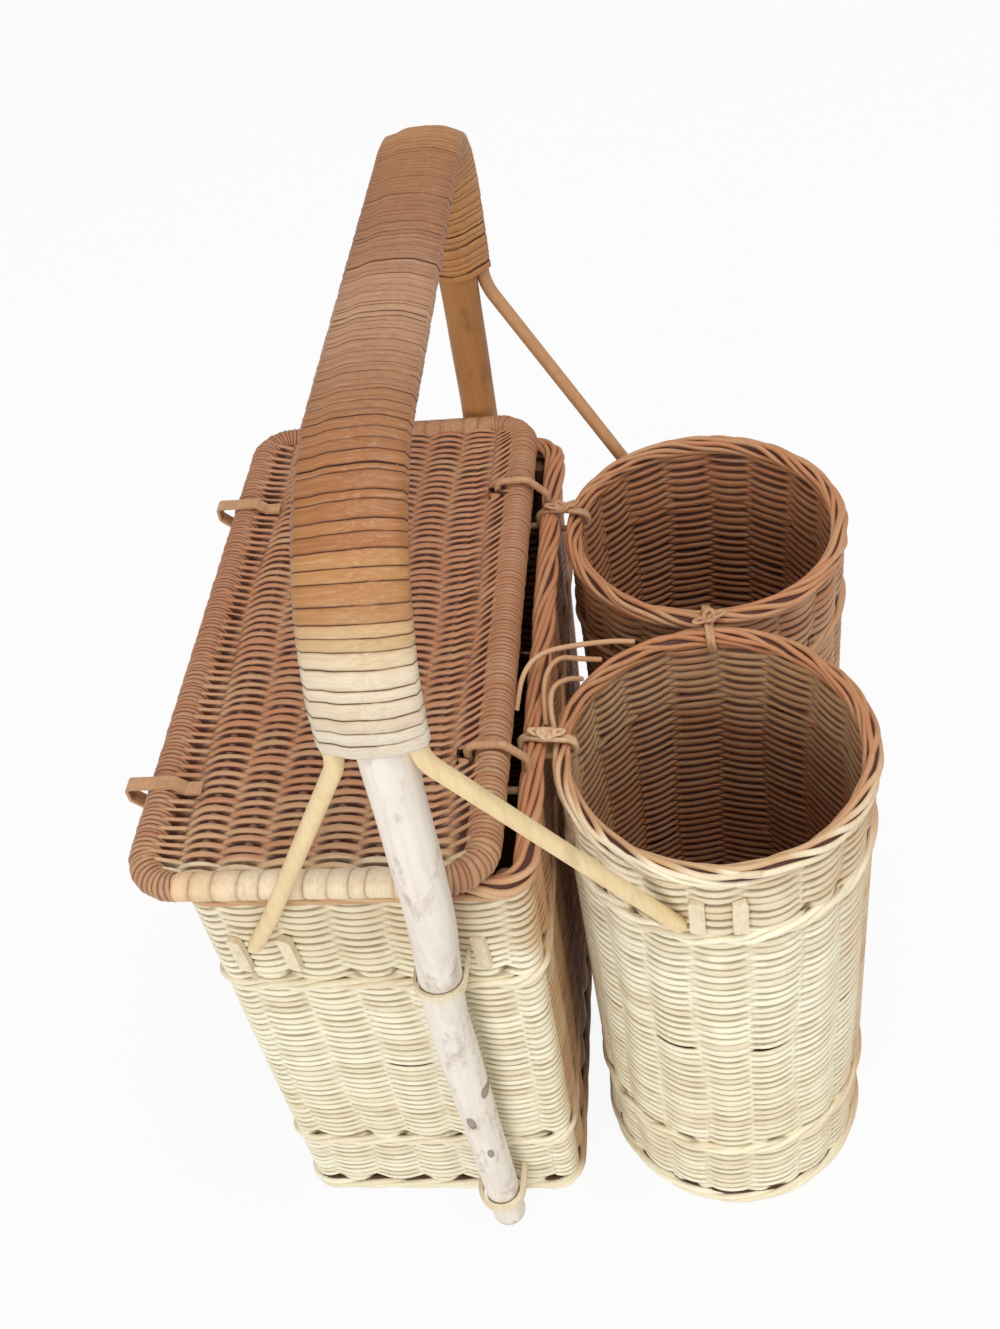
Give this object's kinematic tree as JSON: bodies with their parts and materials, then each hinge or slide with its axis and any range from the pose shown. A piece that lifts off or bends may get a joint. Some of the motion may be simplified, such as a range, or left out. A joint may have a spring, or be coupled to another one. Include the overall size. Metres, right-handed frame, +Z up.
{
  "type": "picnic basket",
  "caption": "Tall woven rattan picnic hamper with a hinged lid, round bottle baskets tied beside it, and a high bent carrying handle with a wound grip and struts.",
  "frame": {"origin": "on the ground, in the middle of the whole basket's length (Y) and width (X)", "axes": "+Z up; the hamper's long side and the grip run along Y, with the end nearest the camera at -Y; +X points from the hamper to the bottle baskets"},
  "size_m": [0.2768, 0.306, 0.4316],
  "materials": {
    "hamper_weave": "dull split rattan, brown with age",
    "bottle_weave": "dull split rattan, cream to tan",
    "lid_weave": "dull split rattan, mid brown",
    "border_willow": "plaited round rattan, satin",
    "stick": "peeled rattan sticks, dull",
    "frame_rod": "bent rattan rod, satin skin",
    "pole": "thick rattan pole, partly peeled, satin",
    "strut_rod": "thin rattan rod, satin skin",
    "grip_cane": "glossy flat cane, closely wound",
    "lid_cane": "glossy flat cane, closely wound",
    "cane": "glossy flat cane"
  },
  "bodies": {
    "basket": {"bottle_tie": "cane", "far_bottle_base": "bottle_weave", "far_bottle_border": "border_willow", "far_bottle_foot": "border_willow", "far_bottle_lower_wale": "border_willow", "far_bottle_staples": "cane", "far_bottle_upper_wale": "border_willow", "far_bottle_wall": "bottle_weave", "far_hamper_staples": "cane", "far_hinge_loop": "cane", "far_pole_lower_loop": "cane", "far_pole_upper_loop": "cane", "far_tie": "cane", "hamper_base": "hamper_weave", "hamper_base_sticks": "stick", "hamper_border": "border_willow", "hamper_corner_posts": "stick", "hamper_foot": "border_willow", "hamper_lower_wale": "border_willow", "hamper_upper_wale": "border_willow", "hamper_wall": "hamper_weave", "handle_left_rod": "strut_rod", "handle_pole": "pole", "handle_right_rod": "strut_rod", "handle_wrap": "grip_cane", "near_bottle_base": "bottle_weave", "near_bottle_border": "border_willow", "near_bottle_foot": "border_willow", "near_bottle_lower_wale": "border_willow", "near_bottle_staples": "cane", "near_bottle_upper_wale": "border_willow", "near_bottle_wall": "bottle_weave", "near_hamper_staples": "cane", "near_hinge_loop": "cane", "near_pole_lower_loop": "cane", "near_pole_upper_loop": "cane", "near_tie": "cane"},
    "lid": {"lid_far_binding": "lid_cane", "lid_far_hasp": "cane", "lid_frame": "frame_rod", "lid_near_binding": "lid_cane", "lid_near_hasp": "cane", "lid_sticks": "stick", "lid_weave": "lid_weave"}
  },
  "joints": [
    {"name": "lid_hinge", "type": "hinge", "parent": "basket", "child": "lid", "pos_m": [-0.00365, 0, 0.265], "axis": [0, 1, 0], "range_deg": [0, 110]}
  ]
}
